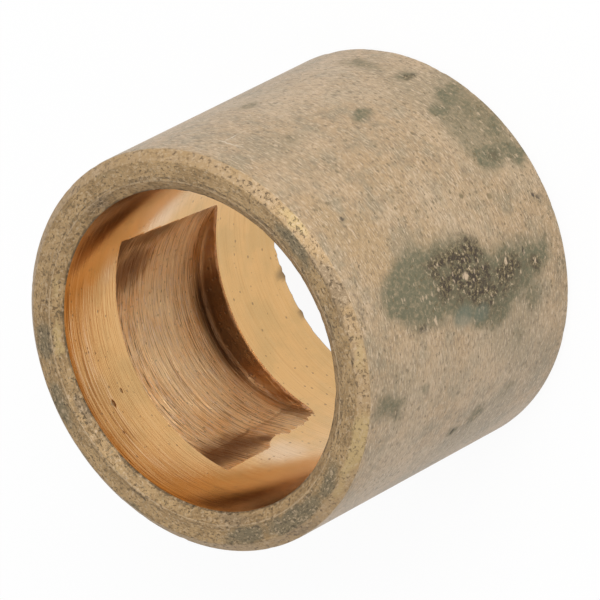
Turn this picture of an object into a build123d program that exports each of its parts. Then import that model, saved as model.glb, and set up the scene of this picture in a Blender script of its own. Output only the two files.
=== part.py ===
from build123d import *
from math import asin, degrees, sqrt
import os

# A plain bronze bushing: one turned sleeve with a tapered lubrication pocket milled
# into its bore. The bore axis is Z, the origin is the middle of the lower end face,
# and the middle of the pocket faces +Y. All lengths are in millimetres.

# sleeve
bore_diameter = 16.0
wall_thickness = 2.0
length = 17.0
outer_chamfer = 0.5
mouth_chamfer_width = 0.55
mouth_chamfer_depth = 0.4

# lubrication pocket, midway along the sleeve
pocket_length = 8.0
pocket_floor_wall = 0.5
pocket_corner_radius = 0.25
cutter_radius_upper = 6.4
cutter_radius_lower = 6.0
ledge_width_upper = 2.1
ledge_width_lower = 1.5

# sizes that follow from the ones above
bore_radius = bore_diameter / 2
outer_radius = bore_radius + wall_thickness
pocket_depth = wall_thickness - pocket_floor_wall
pocket_bottom = (length - pocket_length) / 2
pocket_top = pocket_bottom + pocket_length


def sleeve():
    """The turned sleeve: outer chamfers at both ends, a relieved mouth at the top only."""
    rim_radius = outer_radius - outer_chamfer
    mouth_radius = bore_radius + mouth_chamfer_width
    section = Polyline(
        (bore_radius, 0),
        (rim_radius, 0),
        (outer_radius, outer_chamfer),
        (outer_radius, length - outer_chamfer),
        (rim_radius, length),
        (mouth_radius, length),
        (bore_radius, length - mouth_chamfer_depth),
        close=True,
    )
    return revolve(Plane.XZ * make_face(section), Axis.Z)


def cutter_section(cutter_radius, ledge_width, height):
    """The cutter's outline square to the bore, with a straight ledge on the -X side.

    The circle always reaches the same depth at the middle of the pocket, so a smaller
    radius makes a narrower pocket. The ledge is a chord of the circle that ends where
    the circle leaves the bore, so it meets the rest of the floor at a crease."""
    centre_y = bore_radius + pocket_depth - cutter_radius
    edge_y = (bore_radius**2 + centre_y**2 - cutter_radius**2) / (2 * centre_y)
    edge = Vector(-sqrt(bore_radius**2 - edge_y**2), edge_y)

    centre = Vector(0, centre_y)
    ledge_turn = 2 * degrees(asin(ledge_width / (2 * cutter_radius)))
    crease = centre + (edge - centre).rotate(Axis.Z, -ledge_turn)
    deepest = Vector(0, centre_y + cutter_radius)

    # both sides of the outline run on a little into the empty bore
    ledge_overrun = 0.2
    clean_side_turn = -30
    ledge_end = edge + (edge - crease) * ledge_overrun
    clean_end = centre + Vector(cutter_radius, 0).rotate(Axis.Z, clean_side_turn)

    outline = ThreePointArc(crease, deepest, clean_end) + Polyline(clean_end, ledge_end, crease)
    return Pos(0, 0, height) * make_face(outline)


def pocket_cutter():
    """The tapered solid that the pocket leaves in the wall, rounded where the floor meets
    the lower end. The upper end was left sharp."""
    lower = cutter_section(cutter_radius_lower, ledge_width_lower, pocket_bottom)
    upper = cutter_section(cutter_radius_upper, ledge_width_upper, pocket_top)
    cutter = loft([lower, upper], ruled=True)

    # the edge that closes the section inside the bore, the lowest in Y, stays sharp
    lower_end = cutter.faces().sort_by(Axis.Z)[0]
    corners = lower_end.edges().sort_by(Axis.Y)[1:]
    return fillet(corners, pocket_corner_radius)


bushing = sleeve() - pocket_cutter()
bushing.label = "bushing"

os.makedirs("parts", exist_ok=True)
export_step(bushing, "parts/bushing.step")
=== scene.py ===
import bpy
import math
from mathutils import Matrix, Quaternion, Vector, noise


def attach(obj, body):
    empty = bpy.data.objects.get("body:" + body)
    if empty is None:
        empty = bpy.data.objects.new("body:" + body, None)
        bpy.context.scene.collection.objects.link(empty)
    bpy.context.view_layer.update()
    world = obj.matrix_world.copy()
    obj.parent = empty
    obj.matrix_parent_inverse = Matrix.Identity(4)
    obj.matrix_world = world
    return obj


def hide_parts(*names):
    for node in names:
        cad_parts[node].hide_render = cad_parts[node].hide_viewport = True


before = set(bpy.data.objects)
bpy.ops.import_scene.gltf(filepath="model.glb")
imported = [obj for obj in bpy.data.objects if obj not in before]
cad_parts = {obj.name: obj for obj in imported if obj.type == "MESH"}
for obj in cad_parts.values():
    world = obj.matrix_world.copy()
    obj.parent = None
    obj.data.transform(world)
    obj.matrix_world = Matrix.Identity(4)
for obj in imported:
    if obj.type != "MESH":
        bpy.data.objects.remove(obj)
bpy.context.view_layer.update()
mm = 0.001

# the turned sleeve, the same sizes as the solid it stands for, in mm
sleeve = {
    "boreRadius": 8.0,
    "outerRadius": 10.0,
    "length": 17.0,
    "outerChamfer": 0.5,
    "mouthWidth": 0.55,
    "mouthDepth": 0.4,
    "edgeBreak": 0.05,  # every turned corner is broken by about this much
    "edgeSteps": 3,
    "stepsRound": 400,
    "cutsAlong": 44,  # along the outside and along the bore
    "cutsAcross": 6,  # across each end face
    "cutsOnChamfer": 3,
    "weld": 0.001,
    "smoothAngle": 30,
    "nickReach": 0.1,  # how far from its edge a nick reaches
    "longNick": 0.9,
    "shortNick": 0.3,
    "shortNickShare": 0.7,
    "nickBias": 0.1,
    # radius and height of each turned edge, and how deep its nicks are
    "wornEdges": [(10.0, 16.5, 0.03), (9.5, 17.0, 0.03), (8.55, 17.0, 0.025), (8.0, 16.6, 0.03),
                  (9.5, 0.0, 0.04), (10.0, 0.5, 0.03), (8.0, 0.0, 0.05)],
    # burrs on the lower edge of the bore: angle, half width in degrees, height in mm
    "burrs": [(80.5, 1.3, 0.08), (83.5, 1.8, 0.11), (97.8, 1.8, 0.12), (75.5, 1.0, 0.05), (91.0, 1.2, 0.04)],
}

# the lubrication pocket and the marks its cutter left, in mm
pocket = {
    "bottom": 4.5,
    "top": 12.5,
    "depth": 1.5,
    "cornerRadius": 0.25,
    "cornerSteps": 5,
    "lowerCutter": 6.0,
    "upperCutter": 6.4,
    "lowerLedge": 1.5,
    "upperLedge": 2.1,
    "ledgeOverrun": 0.2,
    "segments": 400,
    "rows": 190,
    "wallRings": 18,
    "wallRingWidth": 0.09,
    "ridgeHeight": 0.013,
    "wallScratch": 0.008,
    "scratchSpacing": 0.1,
    "creaseDepth": 0.012,
    "creaseWidth": 0.09,
    "grooveWidth": 0.045,
    "stripesBelow": 8.2,  # the lower part of the ledge is striped
    "stripeHeight": 0.05,
    "stripeSpacing": 0.1,
    "calmLedge": 0.6,  # share of the ridges that the upper part loses
    "ledgeStart": 0.15,
    "markedRim": 1.8,  # the marks fade out this far in from the cutter's side
    "rimFade": 1.5,
    "fallAway": 0.3,
    "tornLimit": 1.3,
    "tornShare": 0.22,
    "tornNoise": 0.5,
    "tornGrain": 0.16,
    # the noises of the ridges: pace round the cutter, seed, spacing, share
    "ridgeNoises": [(1.3, 0.5, 0.075, 0.8), (0.6, 9.5, 0.2, 1.1), (4, 4.5, 1.4, 0.8)],
    # height and depth of the single deep grooves
    "grooves": [(12.22, 0.03), (12.05, 0.025), (11.85, 0.02), (11.72, 0.035), (11.5, 0.03), (11.2, 0.04),
                (10.95, 0.03), (10.75, 0.02), (10.55, 0.03), (10.3, 0.02), (9.7, 0.02), (8.9, 0.022),
                (8.2, 0.02), (7.3, 0.022), (6.6, 0.015)],
    # how far the torn edge of the ledge runs past or short of its line, in degrees, by height
    "tornEdge": [(4.5, -0.1), (5.17, 0.45), (6.26, 1.3), (6.9, 1.1), (7.23, 1.5), (7.45, -0.4), (7.6, -1.1),
                 (7.9, -1.7), (8.5, -0.8), (8.75, -0.3), (9.07, 1.6), (9.5, 1.4), (9.9, 1.3), (10.7, 0.6),
                 (11.5, 0.0), (12.5, -0.3)],
}

camera = {
    "aim": (-0.074, 0.024, 8.525),  # mm
    "azimuth": 3.154,
    "elevation": 48.021,
    "roll": 117.498,
    "distance": 492.69,
    "lens": 619.82,
    "sensor": 36,
    "nearest": 0.01,  # m, as the next
    "farthest": 10,
}


def deselectAll():
    if bpy.context.object and bpy.context.object.mode != "OBJECT":
        bpy.ops.object.mode_set(mode="OBJECT")
    bpy.ops.object.select_all(action="DESELECT")


def pick(obj):
    deselectAll()
    obj.select_set(True)
    bpy.context.view_layer.objects.active = obj


def selectWhere(obj, kind, test):
    # kind is verts, edges or faces; leaves the object in edit mode
    bpy.ops.object.mode_set(mode="EDIT")
    modes = (kind == "verts", kind == "edges", kind == "faces")
    bpy.context.tool_settings.mesh_select_mode = modes
    bpy.ops.mesh.select_all(action="DESELECT")
    bpy.ops.object.mode_set(mode="OBJECT")
    items = {"verts": obj.data.vertices, "edges": obj.data.edges, "faces": obj.data.polygons}[kind]
    ends = obj.data.vertices
    for item in items:
        if kind == "edges":
            item.select = test(*(ends[i].co for i in item.vertices))
        elif kind == "faces":
            item.select = test(item.center)
        else:
            item.select = test(item.co)
    bpy.ops.object.mode_set(mode="EDIT")


def near(a, b, slack=0.01):
    return abs(a - b) < slack


def clip(value, low=0, high=1):
    return min(max(value, low), high)


def turnSleeve():
    s = sleeve
    wall = s["outerRadius"] - s["boreRadius"]
    deselectAll()
    middle = (s["boreRadius"] + wall / 2, 0, s["length"] / 2)
    bpy.ops.mesh.primitive_plane_add(size=1, location=middle, rotation=(math.pi / 2, 0, 0))
    body = bpy.context.object
    body.name = "bushingBody"
    body.scale = (wall, s["length"], 1)
    bpy.ops.object.transform_apply()

    # the section: outer chamfers, mouth chamfer, then every corner broken
    selectWhere(body, "verts", lambda p: near(p.x, s["outerRadius"]))
    bpy.ops.mesh.bevel(offset=s["outerChamfer"], affect="VERTICES", segments=1)
    selectWhere(body, "verts", lambda p: near(p.x, s["boreRadius"]) and near(p.z, s["length"]))
    bpy.ops.mesh.bevel(offset=s["mouthDepth"], affect="VERTICES", segments=1)
    start = s["boreRadius"] + s["mouthDepth"]
    selectWhere(body, "verts", lambda p: near(p.x, start) and near(p.z, s["length"]))
    bpy.ops.transform.translate(value=(s["mouthWidth"] - s["mouthDepth"], 0, 0))
    selectWhere(body, "verts", lambda p: True)
    bpy.ops.mesh.bevel(offset=s["edgeBreak"], affect="VERTICES", segments=s["edgeSteps"])

    # only its outline, with enough points, is turned round the axis
    selectWhere(body, "faces", lambda p: True)
    bpy.ops.mesh.delete(type="ONLY_FACE")
    selectWhere(body, "edges", lambda p, q: abs(p.z - q.z) > s["length"] / 2)
    bpy.ops.mesh.subdivide(number_cuts=s["cutsAlong"])
    selectWhere(body, "edges", lambda p, q: near(p.z, q.z) and abs(p.x - q.x) > wall / 4)
    bpy.ops.mesh.subdivide(number_cuts=s["cutsAcross"])
    short = s["mouthDepth"] / 2
    selectWhere(body, "edges", lambda p, q: abs(p.x - q.x) > short and abs(p.z - q.z) > short)
    bpy.ops.mesh.subdivide(number_cuts=s["cutsOnChamfer"])
    selectWhere(body, "edges", lambda p, q: True)
    bpy.ops.mesh.spin(steps=s["stepsRound"], angle=2 * math.pi, center=(0, 0, 0), axis=(0, 0, 1))
    bpy.ops.mesh.select_all(action="SELECT")
    bpy.ops.mesh.remove_doubles(threshold=s["weld"])
    bpy.ops.mesh.normals_make_consistent()
    bpy.ops.object.mode_set(mode="OBJECT")
    print("sleeve turned:", len(body.data.polygons), "faces")
    return body


def cutterAt(height):
    # radius and centre of the cutter at one height, and the angle where it leaves the bore
    p = pocket
    share = clip((height - p["bottom"]) / (p["top"] - p["bottom"]))
    radius = p["lowerCutter"] + (p["upperCutter"] - p["lowerCutter"]) * share
    ledge = p["lowerLedge"] + (p["upperLedge"] - p["lowerLedge"]) * share
    bore = sleeve["boreRadius"]
    centre = bore + p["depth"] - radius
    edgeY = (bore**2 + centre**2 - radius**2) / (2 * centre)
    edgeAngle = math.acos((edgeY - centre) / radius)
    halfLedge = math.asin(ledge / (2 * radius))
    return radius, centre, edgeAngle, halfLedge


def makeCutter():
    p = pocket
    lowRadius, lowCentre, _, _ = cutterAt(p["bottom"])
    topRadius, topCentre, _, _ = cutterAt(p["top"])
    tall = p["top"] - p["bottom"]
    deselectAll()
    start = (0, lowCentre, p["bottom"])
    bpy.ops.mesh.primitive_circle_add(
        vertices=p["segments"], radius=lowRadius, location=start, fill_type="NGON"
    )
    cutter = bpy.context.object
    cutter.name = "pocketCutter"
    bpy.ops.object.transform_apply()
    bpy.ops.object.mode_set(mode="EDIT")
    bpy.ops.mesh.select_all(action="SELECT")
    bpy.ops.mesh.extrude_region_move(TRANSFORM_OT_translate={"value": (0, 0, tall)})
    grow = topRadius / lowRadius
    bpy.ops.transform.resize(value=(grow, grow, 1), center_override=(0, lowCentre, p["top"]))
    bpy.ops.transform.translate(value=(0, topCentre - lowCentre, 0))

    # the lower end is rounded; rows up the side, rings on both end walls
    selectWhere(cutter, "edges", lambda a, b: near(a.z, p["bottom"]) and near(b.z, p["bottom"]))
    bpy.ops.mesh.bevel(offset=p["cornerRadius"], affect="EDGES", segments=p["cornerSteps"])
    selectWhere(cutter, "edges", lambda a, b: abs(a.z - b.z) > tall / 2)
    bpy.ops.mesh.subdivide(number_cuts=p["rows"] - 1)
    inner = lowRadius / 2
    for height in (p["bottom"], p["top"]):
        selectWhere(
            cutter, "faces", lambda c: near(c.z, height) and math.hypot(c.x, c.y - lowCentre) < inner
        )
        for _ in range(p["wallRings"]):
            bpy.ops.mesh.inset(thickness=p["wallRingWidth"])
    bpy.ops.mesh.select_all(action="SELECT")
    bpy.ops.mesh.normals_make_consistent()
    bpy.ops.object.mode_set(mode="OBJECT")
    for vertex in cutter.data.vertices:
        vertex.co = cutterMark(vertex.co)
    print("cutter made:", len(cutter.data.polygons), "faces")
    return cutter


def readTable(table, value):
    if value <= table[0][0]:
        return table[0][1]
    for (low, fromValue), (high, toValue) in zip(table, table[1:]):
        if value <= high:
            share = (value - low) / (high - low)
            return fromValue + (toValue - fromValue) * share
    return table[-1][1]


def bump(value, centre, width):
    return math.exp(-(((value - centre) / width) ** 2))


def cutterMark(place):
    # where one point of the plain cutter ends up once it is worn, ridged and has its ledge
    p = pocket
    radius, centre, edgeAngle, halfLedge = cutterAt(place.z)
    x, y, z = place.x, place.y - centre, place.z
    reach = math.hypot(x, y)
    turn = math.atan2(-x, y)
    crease = edgeAngle - 2 * halfLedge
    onWall = clip((reach - radius + p["markedRim"]) / p["rimFade"])

    # the ledge is a chord, it runs on past the edge and then falls away inside the bore
    factor = 1.0
    ledgeEnd = edgeAngle + 2 * halfLedge * p["ledgeOverrun"]
    if crease < turn < ledgeEnd + p["fallAway"]:
        across = min((turn - crease) / (edgeAngle - crease), p["tornLimit"])
        chord = math.cos(halfLedge) / math.cos(min(turn, ledgeEnd) - edgeAngle + halfLedge)
        torn = readTable(p["tornEdge"], z)
        torn += p["tornNoise"] * noise.noise(Vector((3.1, 0, z / p["tornGrain"])))
        chord += p["tornShare"] * math.radians(torn) * sleeve["boreRadius"] / radius * across
        factor = chord if turn < ledgeEnd else chord - (turn - ledgeEnd)
    across = (turn - crease) * radius

    # ridges run round the cutter, stronger on the lower half of the ledge
    onLedge = clip(across / p["ledgeStart"])
    ridges = 0
    for pace, seed, spacing, share in p["ridgeNoises"]:
        ridges += share * noise.noise(Vector((turn * pace, seed, z / spacing)))
    ridges *= p["ridgeHeight"]
    for height, depth in p["grooves"]:
        lasting = clip(0.5 + noise.noise(Vector((turn * 2.2, height * 7, 0))))
        ridges += depth * lasting * bump(z, height, p["grooveWidth"]) * (1 - onLedge)
    if z < p["stripesBelow"]:
        stripes = noise.noise(Vector((turn * 2, 20, z / p["stripeSpacing"])))
        ridges += p["stripeHeight"] * stripes * onLedge
    else:
        ridges *= 1 - p["calmLedge"] * onLedge
    ridges += p["creaseDepth"] * bump(across, 0, p["creaseWidth"])
    cleanEdge = clip((edgeAngle + turn) / 0.12, 0.25)
    reach = reach * factor + ridges * cleanEdge * onWall

    # both end walls carry scratches that run round with the cutter
    for height, side in ((p["bottom"], 1), (p["top"], -1)):
        if near(z, height, 0.004):
            inwards = (radius - reach) / p["scratchSpacing"]
            z -= side * p["wallScratch"] * noise.noise(Vector((turn * 2.5, 30 + side, inwards)))
    return Vector((-reach * math.sin(turn), centre + reach * math.cos(turn), z))


def millPocket(body, cutter):
    pick(body)
    cut = body.modifiers.new("mill", "BOOLEAN")
    cut.operation = "DIFFERENCE"
    cut.solver = "EXACT"
    cut.object = cutter
    bpy.ops.object.modifier_apply(modifier="mill")
    bpy.data.objects.remove(cutter)
    triangles = sum(len(face.vertices) - 2 for face in body.data.polygons)
    print("pocket milled:", len(body.data.polygons), "faces,", triangles, "triangles")


def wearEdges(body):
    # every turned edge is nicked a little, and burrs stand on the lower edge of the bore
    s = sleeve
    midWall = (s["boreRadius"] + s["outerRadius"]) / 2
    for vertex in body.data.vertices:
        radius = math.hypot(vertex.co.x, vertex.co.y)
        angle = math.atan2(vertex.co.y, vertex.co.x)
        for edgeRadius, edgeHeight, depth in s["wornEdges"]:
            if math.hypot(radius - edgeRadius, vertex.co.z - edgeHeight) > s["nickReach"]:
                continue
            around = Vector((math.cos(angle), math.sin(angle), 0)) * edgeRadius
            lift = Vector((0, 0, edgeHeight))
            nick = noise.noise(around / s["longNick"] + lift) - s["nickBias"]
            nick += s["shortNickShare"] * noise.noise(around / s["shortNick"] + lift)
            inwards = depth * clip(nick)
            wanted = radius + inwards * (1 if edgeRadius < midWall else -1)
            vertex.co.z += inwards * (1 if edgeHeight < s["length"] / 2 else -1)
            if (edgeRadius, edgeHeight) == (s["boreRadius"], 0.0):
                for place, half, height in s["burrs"]:
                    wanted -= height * max(0, 1 - abs(math.degrees(angle) - place) / half)
            vertex.co.x *= wanted / radius
            vertex.co.y *= wanted / radius
            break


# colours as they look in plain light
colours = {
    "tan": (0.40, 0.272, 0.147),
    "paleTan": (0.50, 0.37, 0.235),
    "warmTan": (0.40, 0.262, 0.125),
    "greyTan": (0.27, 0.21, 0.123),
    "verdigris": (0.118, 0.114, 0.064),
    "blueGreen": (0.115, 0.15, 0.115),
    "olive": (0.17, 0.125, 0.055),
    # a grime brown, also used as painted shade on the burrs at the lower edge of the bore
    "grimeAndShade": (0.20, 0.14, 0.08),
    "darkPit": (0.05, 0.033, 0.018),
    "paleFleck": (0.56, 0.42, 0.28),
    "scratch": (0.60, 0.50, 0.38),
    "brass": (0.48, 0.345, 0.155),
    "gold": (0.73, 0.44, 0.185),
    "deepGold": (0.60, 0.33, 0.12),
    "palePink": (0.82, 0.61, 0.43),
    "shade": (0.16, 0.068, 0.02),
    # painted shade for the middle of the pocket's lower end wall
    "wallShade": (0.095, 0.037, 0.012),
    # rust, also painted shade on the ledge crease and the sides of the pocket's lower end wall
    "rustAndShade": (0.24, 0.084, 0.02),
    "cutBronze": (0.95, 0.585, 0.27),
    "cutPale": (1.0, 0.76, 0.45),
    "faceBrown": (0.25, 0.155, 0.065),
    "facePale": (0.41, 0.268, 0.125),
    "faceGrey": (0.155, 0.125, 0.072),
}

# Marks that the years left, and painted shade and highlights: angle round the axis in degrees, height (on
# the end face the radius) in mm, half width round and half width the other way in mm, strength. Each metal
# has four kinds.
marks = {
    "skin": {
        "green": [
            (-77, 2.9, 1.4, 1.9, 1.0), (-78, 1.2, 1.5, 1.4, 0.9), (-58.5, 3.1, 1.1, 1.1, 0.9),
            (-55, 2.0, 1.3, 1.2, 1.0), (-52.5, 1.1, 1.3, 0.9, 0.8), (-66, 3.6, 1.8, 0.7, 0.7),
            (-69, 1.2, 1.0, 0.9, 0.8), (-41, 2.5, 0.8, 1.0, 0.7), (-47.5, 7.4, 0.7, 1.3, 0.9),
            (-128.5, 12.3, 0.7, 0.6, 0.7), (-126, 4.6, 1.4, 1.3, 0.5), (-116, 3.2, 1.6, 1.6, 0.7),
            (-148, 6.8, 1.4, 1.6, 0.6), (-144, 4.6, 1.2, 1.6, 0.5), (-150.5, 8.3, 0.6, 0.6, 0.8),
            (-134, 8.8, 0.8, 1.2, 0.3), (-28, 2.6, 2.4, 1.4, 0.6), (-20, 9.8, 0.8, 1.2, 0.6),
            (-44, 12.0, 1.2, 2.0, 0.4), (-86, 13.2, 1.2, 0.8, 0.3), (-140, 12.5, 0.8, 1.2, 0.35),
            (24, 12.0, 2.0, 2.6, 0.9), (62, 5.0, 2.8, 2.0, 1.0), (108, 13.2, 1.6, 2.0, 0.7),
            (133, 6.2, 2.2, 3.0, 0.9), (167, 12.8, 1.5, 1.8, 0.6),
        ],
        "pitted": [
            (-97, 16.0, 1.0, 0.7, 0.7), (-92, 16.2, 0.8, 0.5, 0.5), (-108, 3.0, 1.2, 1.0, 0.7),
            (-92.5, 1.2, 0.4, 0.7, 1.0), (-88, 2.9, 1.2, 1.0, 0.5), (-114, 1.2, 1.4, 0.6, 0.6),
            (-77, 2.6, 0.9, 1.1, 0.7), (-42, 2.4, 0.5, 0.6, 0.8), (-130, 14.3, 0.8, 0.5, 0.7),
            (-109.5, 12.2, 0.6, 0.8, 0.8), (-128.5, 12.2, 0.8, 0.4, 0.6), (-51, 8.3, 0.4, 0.4, 0.7),
            (-149, 7.6, 0.6, 1.0, 0.6), (-145, 5.6, 0.5, 1.0, 0.5), (63, 5.2, 2.0, 1.5, 0.9),
            (131, 7.0, 1.5, 2.0, 0.8),
        ],
        "grey": [
            (-157, 6.0, 2.2, 5.5, 0.8), (-168, 9.0, 1.6, 5.0, 0.8), (-140, 2.0, 3.2, 2.0, 0.7),
            (-123, 13.8, 2.6, 2.6, 0.5), (-50, 2.6, 4.0, 3.0, 0.8), (-42, 13.6, 3.0, 2.2, 0.6),
            (-15, 8.0, 2.5, 6.0, 0.4), (-120, 4.8, 3.4, 3.6, 1.0), (-132, 3.8, 3.0, 2.0, 0.7),
            (-148, 5.0, 2.0, 4.0, 0.8), (-86, 11.8, 1.8, 1.8, 0.5), (150, 4.0, 3.4, 4.4, 0.7),
            (80, 12.0, 3.4, 3.4, 0.6),
        ],
        "warm": [
            (-84, 13.6, 3.0, 2.4, 0.9), (-72, 15.0, 3.0, 1.6, 0.7), (-88, 9.6, 1.2, 2.0, 0.6),
            (-66, 10.0, 3.0, 3.0, 0.4), (45, 14.0, 2.4, 2.0, 0.6),
        ],
    },
    "face": {
        "grey": [
            (124, 9.7, 2.2, 0.5, 0.8), (104, 9.8, 2.4, 0.4, 0.7), (-170, 9.2, 3.4, 1.0, 1.0),
            (168, 9.1, 2.2, 0.9, 0.9), (-152, 9.2, 2.2, 0.8, 0.7), (-72, 9.1, 2.4, 0.8, 0.8),
            (68, 9.0, 2.2, 0.9, 0.7), (88, 9.2, 2.4, 0.7, 0.7), (-96, 8.8, 1.6, 0.5, 0.4),
            (0, 9.4, 2.0, 0.5, 0.4),
        ],
        "pale": [
            (-12, 9.0, 3.6, 0.7, 0.9), (30, 9.0, 3.0, 0.7, 0.8), (-45, 9.1, 2.2, 0.6, 0.7),
            (130, 9.0, 3.4, 0.7, 0.7), (-118, 9.0, 2.2, 0.6, 0.5),
        ],
        "brass": [
            (67, 8.3, 1.6, 0.35, 0.9), (117, 8.35, 1.4, 0.3, 0.35), (48, 8.3, 1.4, 0.3, 0.5),
            (135, 8.3, 1.4, 0.3, 0.4), (-67, 9.78, 1.5, 0.4, 0.9), (-136, 9.75, 3.0, 0.5, 0.9),
            (-108, 9.8, 1.8, 0.4, 0.5), (-152, 9.75, 1.8, 0.4, 0.6),
        ],
        "dark": [
            (92, 8.3, 1.6, 0.4, 0.9), (10, 8.3, 2.2, 0.5, 0.6), (164, 8.3, 2.2, 0.5, 0.6),
            (-82, 9.45, 2.4, 0.16, 0.9), (-110, 9.48, 3.0, 0.1, 0.6), (-100, 8.5, 1.0, 0.2, 0.5),
            (-88, 9.75, 2.2, 0.5, 1.0), (-98, 9.6, 1.4, 0.3, 0.7), (-60, 9.5, 2.0, 0.12, 0.6),
            (-30, 9.5, 3.0, 0.1, 0.4), (-172, 9.7, 2.4, 0.4, 0.5),
        ],
    },
    "bore": {
        # painted shade
        "dim": [
            (0, 17.5, 5.2, 5.6, 1.0), (-14, 12, 4.6, 7.0, 0.9), (180, 17.5, 5.2, 5.6, 1.0),
            (194, 12, 4.6, 7.0, 0.9), (-90, 8, 12.0, 12.0, 0.5),
        ],
        # painted light bounced round inside the bore, a deeper orange near the mouth
        "deep": [
            (60, 16.8, 7.0, 3.2, 1.0), (100, 16.8, 7.0, 3.0, 1.0), (130, 16.0, 4.0, 3.0, 0.8),
            (25, 15.5, 4.0, 3.0, 0.6),
        ],
        # painted highlights where the bore mirrors the bright room
        "pink": [
            (36, 9.6, 1.5, 2.4, 0.9), (143, 9.0, 1.6, 2.0, 0.9), (48, 13.2, 1.4, 0.8, 0.6),
            (128, 8.2, 0.9, 1.6, 0.7),
        ],
        # small dirt, and at height 0 painted shade on the burrs at the lower edge
        "dirtAndBurrShade": [
            (104, 15.6, 0.1, 0.08, 0.6), (118, 13.0, 0.08, 0.1, 0.7), (71, 2.6, 0.14, 0.1, 0.5),
            (140, 8.0, 0.2, 0.06, 0.5), (82.5, 0, 0.5, 0.6, 1.0), (98, 0, 0.4, 0.6, 1.0),
        ],
    },
    "pocket": {
        "shade": [
            (44, 12.6, 3.0, 2.8, 1.0), (46, 9.8, 1.2, 3.4, 0.9), (58, 10.6, 2.0, 2.8, 0.9),
            (70, 12.8, 4.2, 0.9, 0.9), (100, 12.8, 3.6, 0.7, 0.7), (129, 11.2, 1.7, 2.6, 1.0),
            (128, 9.4, 1.5, 1.6, 1.0), (128, 12.3, 1.6, 1.6, 0.9), (130, 4.9, 1.6, 0.7, 0.7),
            (132, 8.6, 0.7, 0.7, 1.0),
        ],
        # painted highlights
        "pale": [
            (73, 7.9, 2.0, 2.2, 1.0), (86, 8.6, 2.4, 2.6, 0.7), (98, 7.4, 1.8, 1.4, 0.6),
            (130, 6.2, 1.6, 1.9, 1.0), (104, 6.2, 2.2, 1.6, 0.4), (60, 6.8, 1.4, 2.4, 0.5),
        ],
        # rust, some of it laid over the painted shade to deepen it
        "rustAndShade": [
            (45, 5.6, 1.2, 1.2, 0.9), (118, 4.5, 1.8, 0.5, 0.8), (132, 8.4, 0.9, 0.8, 0.6),
            (128, 10.4, 1.8, 2.6, 0.9), (58, 10, 1.8, 2.4, 0.6),
        ],
        # painted shade along the crease of the ledge
        "crease": [(124.6, 11.0, 0.22, 2.4, 0.4), (124.4, 8.4, 0.2, 1.8, 0.6), (124.8, 6.0, 0.16, 1.6, 0.4)],
    },
}

# Larger patches on the skin: strength, then rows of height and the angles of its two sides.
patches = {
    "green": [
        (1.0, [(1.6, -109, -103), (3, -112, -101), (4, -115, -100), (5, -117.5, -99), (6, -120, -99),
               (7, -119.5, -94), (8, -117, -91), (9, -114, -89), (10, -112, -88.5), (11, -110.5, -88),
               (12, -110, -88), (12.8, -109, -89), (13.4, -106, -93), (14.4, -102, -96)]),
        (0.62, [(0.2, -83, -48), (1.5, -82, -49), (2.5, -81, -52), (3.5, -79, -57), (4.4, -76, -63)]),
        (0.9, [(13.8, -134, -127), (14.3, -132, -124), (15, -130, -123), (16.0, -129, -122)]),
    ],
    "pitted": [
        (1.0, [(3.7, -113, -101), (5, -115, -102), (6, -116, -102), (6.8, -116, -93.5), (7.6, -113, -91.5),
               (8.5, -110, -91), (9.5, -109, -91), (10.2, -107, -91.5), (10.9, -105, -94)]),
    ],
}

# single small spots on the skin, in the same order
spots = {
    "darkPit": [
        (-103.4, 3.54, 0.28, 0.08, 1.0), (-73.1, 14.14, 0.18, 0.14, 0.8), (-91, 1.5, 0.18, 0.15, 0.9),
        (-150, 8.3, 0.25, 0.12, 0.9),
    ],
    "olive": [(-82.4, 6.17, 0.22, 0.2, 0.9), (-86, 4.4, 0.2, 0.25, 0.7)],
    "paleFleck": [
        (-102.4, 8.12, 0.3, 0.22, 0.9), (-103.9, 4.98, 0.22, 0.16, 0.9), (-107.6, 2.84, 0.24, 0.09, 0.9),
        (-109.8, 11.0, 0.25, 0.14, 0.8),
    ],
    "blueGreen": [(-112.5, 8.9, 0.7, 1.1, 0.45), (-114, 7.5, 0.6, 0.9, 0.4)],
    "scratch": [(-34, 14.6, 0.9, 0.05, 0.8), (-32, 13.9, 0.06, 0.8, 0.6)],
}

# dents in the bore, in the same order
dents = [(95.6, 14.9, 0.28, 0.14, 1.0), (92.9, 14.0, 0.18, 0.1, 0.8), (106, 15.4, 0.12, 0.08, 0.7)]
spotDepth = 1.5  # half depth of every spot and dent, so that it reaches through the worn surface


def put(tree, kind, inputs=None, **settings):
    # a node with its settings, and its inputs either linked or set
    node = tree.nodes.new(kind)
    for name, value in settings.items():
        setattr(node, name, value)
    for name, value in (inputs or {}).items():
        if isinstance(value, bpy.types.NodeSocket):
            tree.links.new(value, node.inputs[name])
        else:
            node.inputs[name].default_value = value
    return node


def calc(tree, operation, a, b=0.0, clamp=False):
    return put(tree, "ShaderNodeMath", {0: a, 1: b}, operation=operation, use_clamp=clamp).outputs[0]


def vectorMath(tree, operation, inputs):
    return put(tree, "ShaderNodeVectorMath", inputs, operation=operation).outputs


def span(tree, value, low, high, toLow=0.0, toHigh=1.0):
    inputs = {"Value": value, "From Min": low, "From Max": high, "To Min": toLow, "To Max": toHigh}
    return put(tree, "ShaderNodeMapRange", inputs, interpolation_type="SMOOTHSTEP").outputs["Result"]


def times(tree, value, amount):
    return calc(tree, "MULTIPLY", value, amount)


def blend(tree, amount, under, over):
    # under and over are sockets or names of colours
    under, over = ((*colours[side], 1) if isinstance(side, str) else side for side in (under, over))
    return put(tree, "ShaderNodeMix", {0: amount, 6: under, 7: over}, data_type="RGBA").outputs[2]


def tint(tree, under, mask, share, name):
    # a share of a named colour, laid on where the mask says
    return blend(tree, times(tree, mask, share), under, name)


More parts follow.
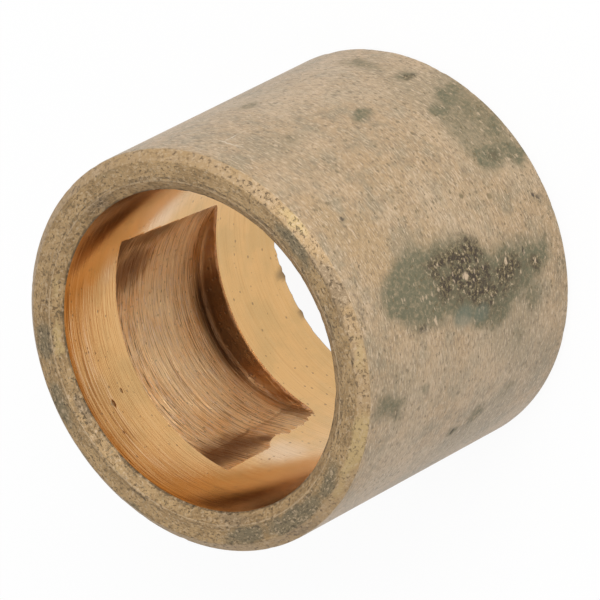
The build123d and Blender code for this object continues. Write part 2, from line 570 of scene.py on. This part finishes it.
def newGroup(name, inputs, outputs):
    tree = bpy.data.node_groups.new(name, "ShaderNodeTree")
    for socket, kind, value in inputs:
        made = tree.interface.new_socket(socket, in_out="INPUT", socket_type="NodeSocket" + kind)
        if value is not None:
            made.default_value = value
    for socket, kind in outputs:
        tree.interface.new_socket(socket, in_out="OUTPUT", socket_type="NodeSocket" + kind)
    return tree, tree.nodes.new("NodeGroupInput").outputs, tree.nodes.new("NodeGroupOutput").inputs


def useGroup(tree, name, inputs):
    return put(tree, "ShaderNodeGroup", inputs, node_tree=bpy.data.node_groups[name]).outputs


def xyzOf(tree, place):
    return put(tree, "ShaderNodeSeparateXYZ", {0: place}).outputs


def radiusOf(tree, x, y):
    return calc(tree, "SQRT", calc(tree, "ADD", times(tree, x, x), times(tree, y, y)))


def linesOf(tree, place, length, width, detail=2.0, radial=0.0, seed=0.0):
    given = {"Position": place, "Length": length * mm, "Width": width * mm}
    given.update({"Detail": detail, "Radial": radial, "Seed": seed})
    return useGroup(tree, "turnedMarks", given)["Lines"]


def specksOf(tree, place, size, share, stretch, seed=0.0):
    given = {"Position": place, "Size": size * mm, "Share": share, "Stretch": stretch, "Seed": seed}
    return useGroup(tree, "specks", given)["Specks"]


def bandAt(tree, place, radius, height, width, waver):
    given = {"Position": place, "Radius": radius * mm, "Height": height * mm}
    given.update({"Width": width * mm, "Waver": waver})
    return useGroup(tree, "edgeBand", given)["Mask"]


def makeTurnedMarks():
    # lines that run round the axis; Radial 0 spaces them along the axis, 1 along the radius
    tree, given, made = newGroup(
        "turnedMarks",
        [("Position", "Vector", None), ("Length", "Float", 0.004), ("Width", "Float", 0.0001),
         ("Radial", "Float", 0.0), ("Seed", "Float", 0.0), ("Detail", "Float", 2.0)],
        [("Lines", "Float")],
    )
    split = xyzOf(tree, given["Position"])
    radius = radiusOf(tree, split["X"], split["Y"])
    shift = calc(tree, "SUBTRACT", radius, split["Z"])
    across = calc(tree, "ADD", split["Z"], times(tree, shift, given["Radial"]))
    across = calc(tree, "ADD", calc(tree, "DIVIDE", across, given["Width"]), given["Seed"])
    x = calc(tree, "DIVIDE", split["X"], given["Length"])
    y = calc(tree, "DIVIDE", split["Y"], given["Length"])
    place = put(tree, "ShaderNodeCombineXYZ", {0: x, 1: y, 2: across}).outputs[0]
    lines = noiseOf(tree, place, 1.0, given["Detail"])
    tree.links.new(span(tree, lines, 0.25, 0.75), made["Lines"])


def makeSpecks():
    # scattered specks, each drawn out along the turning by Stretch
    tree, given, made = newGroup(
        "specks",
        [("Position", "Vector", None), ("Size", "Float", 0.0002), ("Share", "Float", 0.3),
         ("Stretch", "Float", 1.5), ("Seed", "Float", 0.0)],
        [("Specks", "Float")],
    )
    split = xyzOf(tree, given["Position"])
    wide = times(tree, given["Size"], given["Stretch"])
    x = calc(tree, "DIVIDE", split["X"], wide)
    y = calc(tree, "DIVIDE", split["Y"], wide)
    z = calc(tree, "ADD", calc(tree, "DIVIDE", split["Z"], given["Size"]), given["Seed"])
    place = put(tree, "ShaderNodeCombineXYZ", {0: x, 1: y, 2: z}).outputs[0]
    cells = put(tree, "ShaderNodeTexVoronoi", {"Vector": place, "Scale": 1.0, "Randomness": 1.0})
    chance = put(tree, "ShaderNodeSeparateColor", {0: cells.outputs["Color"]}).outputs
    chosen = calc(tree, "LESS_THAN", chance[0], given["Share"])
    reach = span(tree, chance[1], 0.0, 1.0, 0.2, 0.55)
    away = calc(tree, "DIVIDE", cells.outputs["Distance"], reach)
    dot = calc(tree, "SUBTRACT", 1.0, away, clamp=True)
    tree.links.new(times(tree, span(tree, dot, 0.0, 0.6), chosen), made["Specks"])


def makeStain():
    # one soft blot, an ellipsoid laid on the surface
    tree, given, made = newGroup(
        "stain",
        [("Position", "Vector", None), ("Centre", "Vector", None), ("Turn", "Float", 0.0),
         ("Half Size", "Vector", None), ("Soft", "Float", 0.5)],
        [("Mask", "Float")],
    )
    away = vectorMath(tree, "SUBTRACT", {0: given["Position"], 1: given["Centre"]})[0]
    turned = {"Vector": away, "Angle": times(tree, given["Turn"], -1.0)}
    level = put(tree, "ShaderNodeVectorRotate", turned, rotation_type="Z_AXIS").outputs[0]
    scaled = vectorMath(tree, "DIVIDE", {0: level, 1: given["Half Size"]})[0]
    reach = vectorMath(tree, "LENGTH", {0: scaled})["Value"]
    inner = calc(tree, "SUBTRACT", 1.0, given["Soft"])
    tree.links.new(span(tree, reach, 1.0, inner), made["Mask"])


def makeEdgeBand():
    # a band along a turned edge, at one radius and height
    tree, given, made = newGroup(
        "edgeBand",
        [("Position", "Vector", None), ("Radius", "Float", 0.01), ("Height", "Float", 0.0),
         ("Width", "Float", 0.0001), ("Waver", "Float", 0.5)],
        [("Mask", "Float")],
    )
    split = xyzOf(tree, given["Position"])
    outward = calc(tree, "SUBTRACT", radiusOf(tree, split["X"], split["Y"]), given["Radius"])
    upward = calc(tree, "SUBTRACT", split["Z"], given["Height"])
    away = radiusOf(tree, outward, upward)
    grained = {"Vector": given["Position"], "Scale": 900.0, "Detail": 3.0}
    grain = put(tree, "ShaderNodeTexNoise", grained).outputs[0]
    waver = times(tree, calc(tree, "SUBTRACT", grain, 0.5), given["Waver"])
    reach = calc(tree, "ADD", calc(tree, "DIVIDE", away, given["Width"]), times(tree, waver, 2.0))
    tree.links.new(span(tree, reach, 1.0, 0.3), made["Mask"])


def newMetal(name):
    metal = bpy.data.materials.new(name)
    metal.use_nodes = True
    tree = metal.node_tree
    place = put(tree, "ShaderNodeTexCoord").outputs["Object"]
    return metal, tree, place, tree.nodes["Principled BSDF"]


def roughened(tree, place, size, amount):
    # the position, pushed about by noise, so that what reads it gets a ragged outline
    grained = {"Vector": place, "Scale": 1 / size, "Detail": 5.0, "Roughness": 0.7}
    push = put(tree, "ShaderNodeTexNoise", grained).outputs["Color"]
    centred = vectorMath(tree, "SUBTRACT", {0: push, 1: (0.5, 0.5, 0.5)})[0]
    moved = vectorMath(tree, "SCALE", {0: centred, "Scale": amount})[0]
    return vectorMath(tree, "ADD", {0: place, 1: moved})[0]


def spotMask(tree, place, entries, radius):
    total = None
    for angle, height, halfRound, halfAlong, strength in entries:
        turn = math.radians(angle)
        centre = (radius * math.cos(turn) * mm, radius * math.sin(turn) * mm, height * mm)
        size = (spotDepth * mm, halfRound * mm, halfAlong * mm)
        given = {"Position": place, "Centre": centre, "Turn": turn, "Half Size": size, "Soft": 0.6}
        mask = times(tree, useGroup(tree, "stain", given)["Mask"], strength)
        total = mask if total is None else calc(tree, "MAXIMUM", total, mask)
    return total


def paintedMarks(tree):
    # the four masks painted on the mesh
    painted = put(tree, "ShaderNodeAttribute", attribute_name="marks").outputs
    split = put(tree, "ShaderNodeSeparateColor", {0: painted["Color"]}).outputs
    return split[0], split[1], split[2], painted["Alpha"]


# share of metal, strength of the relief and its depth in mm, and roughness where it is even
finish = {
    "skin": {"metallic": 0.3, "strength": 1.0, "relief": 0.035, "coatRoughness": 0.35},
    "face": {"metallic": 0.3, "strength": 0.9, "relief": 0.04, "roughness": 0.55},
    "bore": {"metallic": 1.0, "strength": 0.4, "relief": 0.012},
    "pocket": {"metallic": 0.92, "strength": 0.8, "relief": 0.03, "roughness": 0.48},
}


def closeMetal(tree, shader, colour, heights, own):
    # the relief is the sum of the given shares
    height = times(tree, *heights[0])
    for value, share in heights[1:]:
        height = calc(tree, "ADD", height, times(tree, value, share))
    given = {"Height": height, "Strength": own["strength"], "Distance": own["relief"] * mm}
    relief = put(tree, "ShaderNodeBump", given).outputs[0]
    tree.links.new(colour, shader.inputs["Base Color"])
    tree.links.new(relief, shader.inputs["Normal"])
    shader.inputs["Metallic"].default_value = own["metallic"]


def broken(tree, mask, grain, amount=0.8, low=0.15, high=0.75):
    # a soft mask, broken up by a grain round its edge
    moved = times(tree, calc(tree, "SUBTRACT", grain, 0.5), amount)
    return span(tree, calc(tree, "ADD", mask, moved), low, high)


def noiseOf(tree, place, size, detail=4.0, roughness=0.6):
    inputs = {"Vector": place, "Scale": 1 / size, "Detail": detail, "Roughness": roughness}
    return put(tree, "ShaderNodeTexNoise", inputs).outputs[0]


def skinMetal():
    metal, tree, place, shader = newMetal("oxidisedBronze")
    green, pitted, grey, warm = paintedMarks(tree)
    loose = roughened(tree, place, 0.3 * mm, 0.35 * mm)
    wide = noiseOf(tree, place, 5 * mm, 3.0)
    cloud = noiseOf(tree, place, 1.4 * mm, 6.0, 0.7)
    grain = noiseOf(tree, place, 0.2 * mm, 3.0, 0.7)
    long = linesOf(tree, place, 2.0, 0.12, detail=3.0)
    short = linesOf(tree, place, 0.3, 0.075, seed=31.0)
    pits = specksOf(tree, loose, 0.17, 0.26, 1.6)
    flecks = specksOf(tree, loose, 0.15, 0.22, 2.4, seed=17.3)

    # metal: tan, clouded with grey and pale, drawn out by the turning
    colour = blend(tree, span(tree, cloud, 0.34, 0.6), "greyTan", "tan")
    colour = tint(tree, colour, span(tree, wide, 0.45, 0.65), 0.5, "paleTan")
    mottle = noiseOf(tree, place, 0.5 * mm, 4.0, 0.7)
    colour = tint(tree, colour, span(tree, mottle, 0.46, 0.32), 0.45, "grimeAndShade")
    colour = tint(tree, colour, span(tree, mottle, 0.55, 0.7), 0.5, "paleTan")
    colour = tint(tree, colour, broken(tree, grey, cloud), 0.6, "greyTan")
    colour = tint(tree, colour, broken(tree, warm, cloud), 0.7, "warmTan")
    colour = tint(tree, colour, span(tree, long, 0.4, 0.95), 0.25, "warmTan")
    colour = tint(tree, colour, span(tree, short, 0.42, 0.05), 0.6, "grimeAndShade")
    colour = tint(tree, colour, span(tree, short, 0.62, 0.95), 0.7, "paleFleck")
    colour = tint(tree, colour, span(tree, grain, 0.42, 0.28), 0.6, "grimeAndShade")
    colour = tint(tree, colour, span(tree, grain, 0.6, 0.72), 0.4, "paleFleck")

    # patina, smooth at its rim and eaten into pits at its heart
    patina = broken(tree, green, cloud, 1.0, 0.15, 0.9)
    mottled = blend(tree, span(tree, grain, 0.42, 0.72), "verdigris", "greyTan")
    colour = blend(tree, times(tree, patina, 0.92), colour, mottled)
    core = broken(tree, pitted, cloud, 1.2, 0.3, 1.0)
    eaten = noiseOf(tree, place, 0.19 * mm, 3.0, 0.7)
    clusters = noiseOf(tree, place, 0.8 * mm, 3.0)
    eatenDark = times(tree, span(tree, eaten, 0.58, 0.45), span(tree, clusters, 0.38, 0.54, 0.35, 1.0))
    colour = tint(tree, colour, core, span(tree, clusters, 0.4, 0.6, 0.25, 0.75), "olive")
    colour = tint(tree, colour, eatenDark, core, "darkPit")
    eatenPale = times(tree, span(tree, eaten, 0.6, 0.68), core)
    colour = tint(tree, colour, eatenPale, 0.8, "paleFleck")

    colour = tint(tree, colour, pits, 0.65, "olive")
    colour = tint(tree, colour, flecks, 0.6, "paleFleck")
    for name in ("blueGreen", "olive", "darkPit", "paleFleck", "scratch"):
        colour = blend(tree, spotMask(tree, loose, spots[name], 10), colour, name)

    eatenCore = times(tree, eaten, core)
    heights = [(long, 0.2), (short, 0.4), (grain, 0.5), (pits, -0.7), (flecks, 0.4), (eatenCore, 1.6)]
    closeMetal(tree, shader, colour, heights, finish["skin"])
    tree.links.new(span(tree, patina, 0.0, 1.0, 0.5, 0.7), shader.inputs["Roughness"])
    tree.links.new(span(tree, patina, 0.0, 1.0, 0.2, 0.05), shader.inputs["Coat Weight"])
    shader.inputs["Coat Roughness"].default_value = finish["skin"]["coatRoughness"]
    return metal


def faceMetal():
    metal, tree, place, shader = newMetal("dirtyFace")
    s = sleeve
    grey, pale, brass, dark = paintedMarks(tree)
    cloud = noiseOf(tree, place, 0.9 * mm, 5.0, 0.65)
    grain = noiseOf(tree, place, 0.13 * mm, 3.0, 0.7)
    lines = linesOf(tree, place, 2.5, 0.09, detail=3.0, radial=1.0)
    loose = roughened(tree, place, 0.3 * mm, 0.4 * mm)
    rough = linesOf(tree, loose, 0.22, 0.1, radial=1.0, seed=3.0)
    pits = times(tree, span(tree, rough, 0.28, 0.08), span(tree, cloud, 0.35, 0.6, 0.4, 1.0))
    flecks = specksOf(tree, loose, 0.13, 0.25, 1.6, seed=8.0)

    colour = blend(tree, span(tree, cloud, 0.34, 0.64), "faceBrown", "facePale")
    colour = tint(tree, colour, span(tree, lines, 0.3, 0.9), 0.4, "facePale")
    colour = tint(tree, colour, broken(tree, pale, cloud), 0.6, "warmTan")
    colour = tint(tree, colour, broken(tree, grey, cloud), 0.85, "faceGrey")
    colour = tint(tree, colour, span(tree, grain, 0.48, 0.3), 0.75, "faceGrey")
    colour = tint(tree, colour, span(tree, grain, 0.55, 0.72), 0.55, "tan")

    # the outer chamfers keep the tan of the skin
    split = xyzOf(tree, place)
    onChamfer = span(tree, radiusOf(tree, split["X"], split["Y"]), 9.49 * mm, 9.56 * mm)
    rubbed = blend(tree, span(tree, cloud, 0.36, 0.6), "warmTan", "tan")
    rubbed = tint(tree, rubbed, span(tree, grain, 0.5, 0.3), 0.4, "grimeAndShade")
    colour = blend(tree, times(tree, onChamfer, 0.9), colour, rubbed)

    # a bright line where the mouth chamfer starts, a dark line beside it and a dark band at the rim
    band = bandAt(tree, place, 8.55, s["length"], 0.05, 1.0)
    colour = tint(tree, colour, band, 0.5, "paleTan")
    band = bandAt(tree, place, 8.7, s["length"], 0.08, 2.0)
    groove = times(tree, band, span(tree, cloud, 0.4, 0.6))
    colour = tint(tree, colour, groove, 0.6, "darkPit")
    colour = tint(tree, colour, broken(tree, brass, cloud), 0.7, "brass")
    colour = tint(tree, colour, broken(tree, dark, cloud), 0.7, "grimeAndShade")
    band = bandAt(tree, place, 8.02, 16.6, 0.1, 2.4)
    colour = tint(tree, colour, band, 0.6, "darkPit")
    colour = tint(tree, colour, pits, 0.65, "darkPit")
    colour = tint(tree, colour, span(tree, rough, 0.72, 0.92), 0.6, "paleTan")
    colour = tint(tree, colour, flecks, 0.45, "paleTan")

    closeMetal(tree, shader, colour, [(lines, 0.5), (grain, 0.7), (pits, -0.8)], finish["face"])
    shader.inputs["Roughness"].default_value = finish["face"]["roughness"]
    return metal


def boreMetal():
    metal, tree, place, shader = newMetal("boreBronze")
    dim, deep, pink, dirtAndBurrShade = paintedMarks(tree)
    fine = linesOf(tree, place, 6, 0.05, detail=3.0)
    coarse = linesOf(tree, place, 3, 0.09, seed=12.0)
    cloud = noiseOf(tree, place, 2.2 * mm, 4.0)
    grain = noiseOf(tree, place, 0.12 * mm, 3.0, 0.7)
    pits = specksOf(tree, place, 0.15, 0.08, 1.3, seed=9.0)
    colour = blend(tree, times(tree, span(tree, cloud, 0.4, 0.65), 0.35), "gold", "brass")
    # painted light: near the mouth the bore gets the deeper orange of light bounced round inside it
    colour = tint(tree, colour, deep, 0.75, "deepGold")
    # painted highlights where the bore mirrors the bright room
    colour = tint(tree, colour, pink, 0.7, "palePink")
    colour = tint(tree, colour, span(tree, fine, 0.45, 0.9), 0.25, "deepGold")
    scored = times(tree, span(tree, coarse, 0.34, 0.12), span(tree, deep, 0.0, 0.7, 0.1, 0.55))
    colour = blend(tree, scored, colour, "rustAndShade")
    streaks = times(tree, span(tree, coarse, 0.6, 0.9), span(tree, deep, 0.0, 0.6, 0.05, 0.4))
    colour = blend(tree, streaks, colour, "palePink")
    # painted shade where the dim marks lie
    colour = tint(tree, colour, dim, 0.7, "shade")
    colour = tint(tree, colour, pits, 0.6, "grimeAndShade")
    dented = spotMask(tree, roughened(tree, place, 0.2 * mm, 0.1 * mm), dents, sleeve["boreRadius"])
    # small dirt, and painted shade on the burrs at the lower edge of the bore
    colour = tint(tree, colour, dirtAndBurrShade, 0.9, "grimeAndShade")
    colour = tint(tree, colour, dented, 0.75, "shade")
    heights = [(fine, 0.4), (coarse, 0.6), (grain, 0.4), (pits, -0.6), (dented, -6.0)]
    closeMetal(tree, shader, colour, heights, finish["bore"])
    tree.links.new(span(tree, cloud, 0.3, 0.7, 0.12, 0.18), shader.inputs["Roughness"])
    return metal


def pocketMetal():
    metal, tree, place, shader = newMetal("pocketBronze")
    p = pocket
    shade, pale, rustAndShade, crease = paintedMarks(tree)
    lines = linesOf(tree, place, 3, 0.08, detail=3.0)
    short = linesOf(tree, place, 0.6, 0.07, seed=5.0)
    cuts = linesOf(tree, place, 1.6, 0.05, seed=14.0)
    wallLines = linesOf(tree, place, 2.0, 0.1, detail=1.0, radial=1.0)
    grain = noiseOf(tree, place, 0.1 * mm, 3.0, 0.7)
    cloud = noiseOf(tree, place, 1.2 * mm, 5.0, 0.65)
    pits = specksOf(tree, place, 0.12, 0.15, 1.6, seed=4.0)
    spread = xyzOf(tree, place)
    nearSide = span(tree, spread["Z"], 8.8 * mm, 11.0 * mm, 0.25, 1.0)
    clear = span(tree, shade, 0.0, 0.8, 0.8, 0.15)
    colour = blend(tree, times(tree, span(tree, cloud, 0.35, 0.65), 0.6), "cutBronze", "cutPale")
    # painted highlights where the pale marks lie
    colour = tint(tree, colour, pale, 0.8, "cutPale")
    colour = tint(tree, colour, shade, 0.8, "shade")
    # rust, some of it deepening the painted shade
    colour = tint(tree, colour, rustAndShade, 0.6, "rustAndShade")
    colour = tint(tree, colour, span(tree, lines, 0.4, 0.1), 0.6, "rustAndShade")
    colour = tint(tree, colour, span(tree, lines, 0.62, 0.9), clear, "cutPale")
    colour = tint(tree, colour, span(tree, cuts, 0.36, 0.14), nearSide, "shade")
    colour = tint(tree, colour, span(tree, short, 0.6, 0.95), clear, "palePink")
    colour = tint(tree, colour, span(tree, grain, 0.38, 0.25), 0.4, "rustAndShade")
    # painted shade along the crease of the ledge
    colour = tint(tree, colour, broken(tree, crease, grain), 0.6, "rustAndShade")

    # the wall at the lower end is painted shade, darkest in its middle and browner at both sides, with
    # painted glints of pale lines near the bore and a painted highlight along its torn lip at the bore
    radius = radiusOf(tree, spread["X"], spread["Y"])
    offMiddle = calc(tree, "ABSOLUTE", calc(tree, "SUBTRACT", spread["X"], 0.1 * mm))
    ends = span(tree, calc(tree, "ADD", offMiddle, times(tree, cloud, 1.0 * mm)), 1.8 * mm, 4.2 * mm)
    rise = calc(tree, "ADD", spread["Z"], times(tree, ends, 0.45 * mm))
    onWall = span(tree, rise, (p["bottom"] + 1.05) * mm, (p["bottom"] + 0.15) * mm)
    wavy = calc(tree, "ADD", radius, times(tree, calc(tree, "SUBTRACT", grain, 0.5), 0.2 * mm))
    inside = span(tree, wavy, 8.02 * mm, 8.16 * mm)
    # painted shade on the end wall: darkest in the middle, browner towards the sides
    wall = blend(tree, times(tree, ends, 0.75), "wallShade", "rustAndShade")
    beside = times(tree, ends, span(tree, radius, 8.7 * mm, 8.2 * mm))
    glint = times(tree, span(tree, wallLines, 0.7, 0.95), beside)
    wall = tint(tree, wall, glint, 0.5, "cutPale")
    colour = blend(tree, times(tree, times(tree, onWall, inside), 0.93), colour, wall)
    # painted highlight along the torn lip at the bore
    band = bandAt(tree, place, 8.02, p["bottom"], 0.17, 1.8)
    lip = times(tree, band, span(tree, ends, 0.0, 1.0, 0.3, 0.8))
    colour = blend(tree, lip, colour, "palePink")
    colour = tint(tree, colour, pits, 0.45, "grimeAndShade")
    heights = [(lines, 0.6), (grain, 0.5), (short, 0.5), (cuts, 0.6), (pits, -0.7)]
    closeMetal(tree, shader, colour, heights, finish["pocket"])
    shader.inputs["Roughness"].default_value = finish["pocket"]["roughness"]
    return metal


# how far the painted marks are pushed about and how soft they are, in mm
paint = {
    "widePush": 0.35,
    "wideScale": 1.3,
    "finePush": 0.25,
    "fineScale": 0.5,
    "calmPush": 0.8,  # share of the push on the other three metals
    "markFade": 0.85,  # share of a mark that fades out
    "patchFade": 1.5,  # width of a patch's soft side
}

# the four metals in the order of their slots, and the slack at their borders in mm
metalNames = ("skin", "face", "bore", "pocket")
borders = {
    "pocketEnds": 0.03,
    "pocketSide": 0.004,
    "outside": 0.2,
    "boreSide": 0.03,
    "boreEnds": 0.06,
}


def markAt(entries, angle, other, radius):
    # how strongly one kind of mark covers a place
    total = 0.0
    for turn, along, halfRound, halfAlong, strength in entries:
        away = (other - along) / halfAlong
        if abs(away) >= 1:
            continue
        turned = math.radians((angle - turn + 180) % 360 - 180) * radius / halfRound
        reach = math.sqrt(turned**2 + away**2)
        if reach < 1:
            share = min((1 - reach) / paint["markFade"], 1)
            total = max(total, strength * share * share * (3 - 2 * share))
    return total


def patchAt(rows, angle, height, radius):
    # 1 well inside a patch, 0 outside it, half on its side
    left = readTable([(row[0], row[1]) for row in rows], height)
    right = readTable([(row[0], row[2]) for row in rows], height)
    inside = math.radians(min(angle - left, right - angle)) * radius
    inside = min(inside, height - rows[0][0], rows[-1][0] - height)
    return clip(inside / paint["patchFade"] + 0.5)


def pushAt(place):
    wide = noise.noise_vector(place / paint["wideScale"])
    fine = noise.noise_vector(place / paint["fineScale"])
    return paint["widePush"] * wide + paint["finePush"] * fine


def paintMarks(body):
    # the four masks of each metal, painted at every corner of its faces
    layer = body.data.color_attributes.new("marks", "FLOAT_COLOR", "CORNER")
    known = {}
    for face in body.data.polygons:
        metal = metalNames[face.material_index]
        for corner in face.loop_indices:
            index = body.data.loops[corner].vertex_index
            if (index, metal) not in known:
                place = body.data.vertices[index].co / mm
                radius = math.hypot(place.x, place.y)
                push = pushAt(place)
                if metal != "skin":
                    push *= paint["calmPush"]
                angle = math.degrees(math.atan2(place.y, place.x)) + math.degrees(push.x / radius)
                other = (radius if metal == "face" else place.z) + push.y
                kinds = marks[metal]
                painted = {kind: markAt(kinds[kind], angle, other, radius) for kind in kinds}
                for kind, areas in patches.items() if metal == "skin" else ():
                    for strength, rows in areas:
                        covered = strength * patchAt(rows, angle, other, radius)
                        painted[kind] = max(painted[kind], covered)
                known[index, metal] = list(painted.values())
            layer.data[corner].color = known[index, metal]
    print("marks painted:", len(known), "places")


def metalAt(centre):
    s, b = sleeve, borders
    radius = math.hypot(centre.x, centre.y)
    inPocket = pocket["bottom"] - b["pocketEnds"] < centre.z < pocket["top"] + b["pocketEnds"]
    if inPocket and s["boreRadius"] + b["pocketSide"] < radius < s["outerRadius"] - b["outside"]:
        return "pocket"
    between = s["outerChamfer"] < centre.z < s["length"] - s["outerChamfer"]
    if between and radius > s["outerRadius"] - s["outerChamfer"]:
        return "skin"
    between = b["boreEnds"] < centre.z < s["length"] - s["mouthDepth"] - b["boreEnds"]
    if between and radius < s["boreRadius"] + b["boreSide"]:
        return "bore"
    return "face"


def dress(body):
    makeTurnedMarks()
    makeSpecks()
    makeStain()
    makeEdgeBand()
    body.data.materials.clear()
    for metal in (skinMetal(), faceMetal(), boreMetal(), pocketMetal()):
        body.data.materials.append(metal)
    for face in body.data.polygons:
        face.material_index = metalNames.index(metalAt(face.center / mm))
    paintMarks(body)


def makeCamera():
    c = camera
    azimuth, elevation = math.radians(c["azimuth"]), math.radians(c["elevation"])
    level = math.cos(elevation)
    back = Vector((math.sin(azimuth) * level, -math.cos(azimuth) * level, math.sin(elevation)))
    deselectAll()
    bpy.ops.object.camera_add(location=(Vector(c["aim"]) + back * c["distance"]) * mm)
    cam = bpy.context.object
    cam.rotation_mode = "QUATERNION"
    upright = (-back).to_track_quat("-Z", "Y")
    cam.rotation_quaternion = upright @ Quaternion((0, 0, 1), -math.radians(c["roll"]))
    cam.data.sensor_width = c["sensor"]
    cam.data.lens = c["lens"]
    cam.data.clip_start = c["nearest"]
    cam.data.clip_end = c["farthest"]
    bpy.context.scene.camera = cam
    print("camera placed")


def seenDirectly(tree):
    path = put(tree, "ShaderNodeLightPath").outputs
    shown = calc(tree, "MAXIMUM", path["Is Camera Ray"], path["Is Glossy Ray"])
    return calc(tree, "MAXIMUM", shown, path["Is Transmission Ray"])


studio = {
    "floorSize": 3,
    "floorGrey": 0.9,
    "floorRoughness": 0.9,
    "floorWhite": 0.93,  # share of the floor that shows plain white, the rest takes the shadow
    "skyDiffuse": 0.72,
    "skySeen": 0.85,  # what the metal mirrors of the room above the floor
    "keyTurn": -62,  # degrees round the axis
    "keyRise": 34,
    "keyDistance": 0.34,
    "keySize": 0.26,
    "keyPower": 0.9,
}


def makeStage():
    deselectAll()
    bpy.ops.mesh.primitive_plane_add(size=studio["floorSize"])
    floor = bpy.context.object
    floor.name = "floor"
    paint = bpy.data.materials.new("paleFloor")
    paint.use_nodes = True
    tree = paint.node_tree
    lit = tree.nodes["Principled BSDF"]
    lit.inputs["Base Color"].default_value = (*[studio["floorGrey"]] * 3, 1)
    lit.inputs["Roughness"].default_value = studio["floorRoughness"]
    glow = put(tree, "ShaderNodeEmission", {"Color": (1, 1, 1, 1), "Strength": 1.0}).outputs[0]
    share = times(tree, seenDirectly(tree), studio["floorWhite"])
    both = put(tree, "ShaderNodeMixShader", {0: share, 1: lit.outputs[0], 2: glow}).outputs[0]
    tree.links.new(both, tree.nodes["Material Output"].inputs["Surface"])
    floor.data.materials.append(paint)

    world = bpy.data.worlds.new("studio")
    bpy.context.scene.world = world
    world.use_nodes = True
    tree = world.node_tree
    sky = tree.nodes["Background"]
    sky.inputs["Color"].default_value = (1, 1, 1, 1)
    path = put(tree, "ShaderNodeLightPath").outputs
    seen = times(tree, path["Is Glossy Ray"], studio["skySeen"] - studio["skyDiffuse"])
    level = calc(tree, "ADD", seen, studio["skyDiffuse"])
    direct = calc(tree, "MAXIMUM", path["Is Camera Ray"], path["Is Transmission Ray"])
    level = calc(tree, "MAXIMUM", level, direct)
    tree.links.new(level, sky.inputs["Strength"])

    turn, rise = math.radians(studio["keyTurn"]), math.radians(studio["keyRise"])
    away = Vector((math.cos(turn) * math.cos(rise), math.sin(turn) * math.cos(rise), math.sin(rise)))
    place = Vector(camera["aim"]) * mm + away * studio["keyDistance"]
    bpy.ops.object.light_add(type="AREA", location=place)
    key = bpy.context.object
    key.data.shape = "DISK"
    key.data.size = studio["keySize"]
    key.data.energy = studio["keyPower"]
    key.rotation_mode = "QUATERNION"
    key.rotation_quaternion = (Vector(camera["aim"]) * mm - place).to_track_quat("-Z", "Y")
    print("stage lit")


body = turnSleeve()
cutter = makeCutter()
millPocket(body, cutter)
wearEdges(body)
pick(body)
body.scale = (mm, mm, mm)
bpy.ops.object.transform_apply()
bpy.ops.object.shade_smooth_by_angle(angle=math.radians(sleeve["smoothAngle"]))
dress(body)
makeCamera()
makeStage()
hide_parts("bushing")
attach(body, "root")
bpy.context.scene.view_settings.view_transform = "Standard"
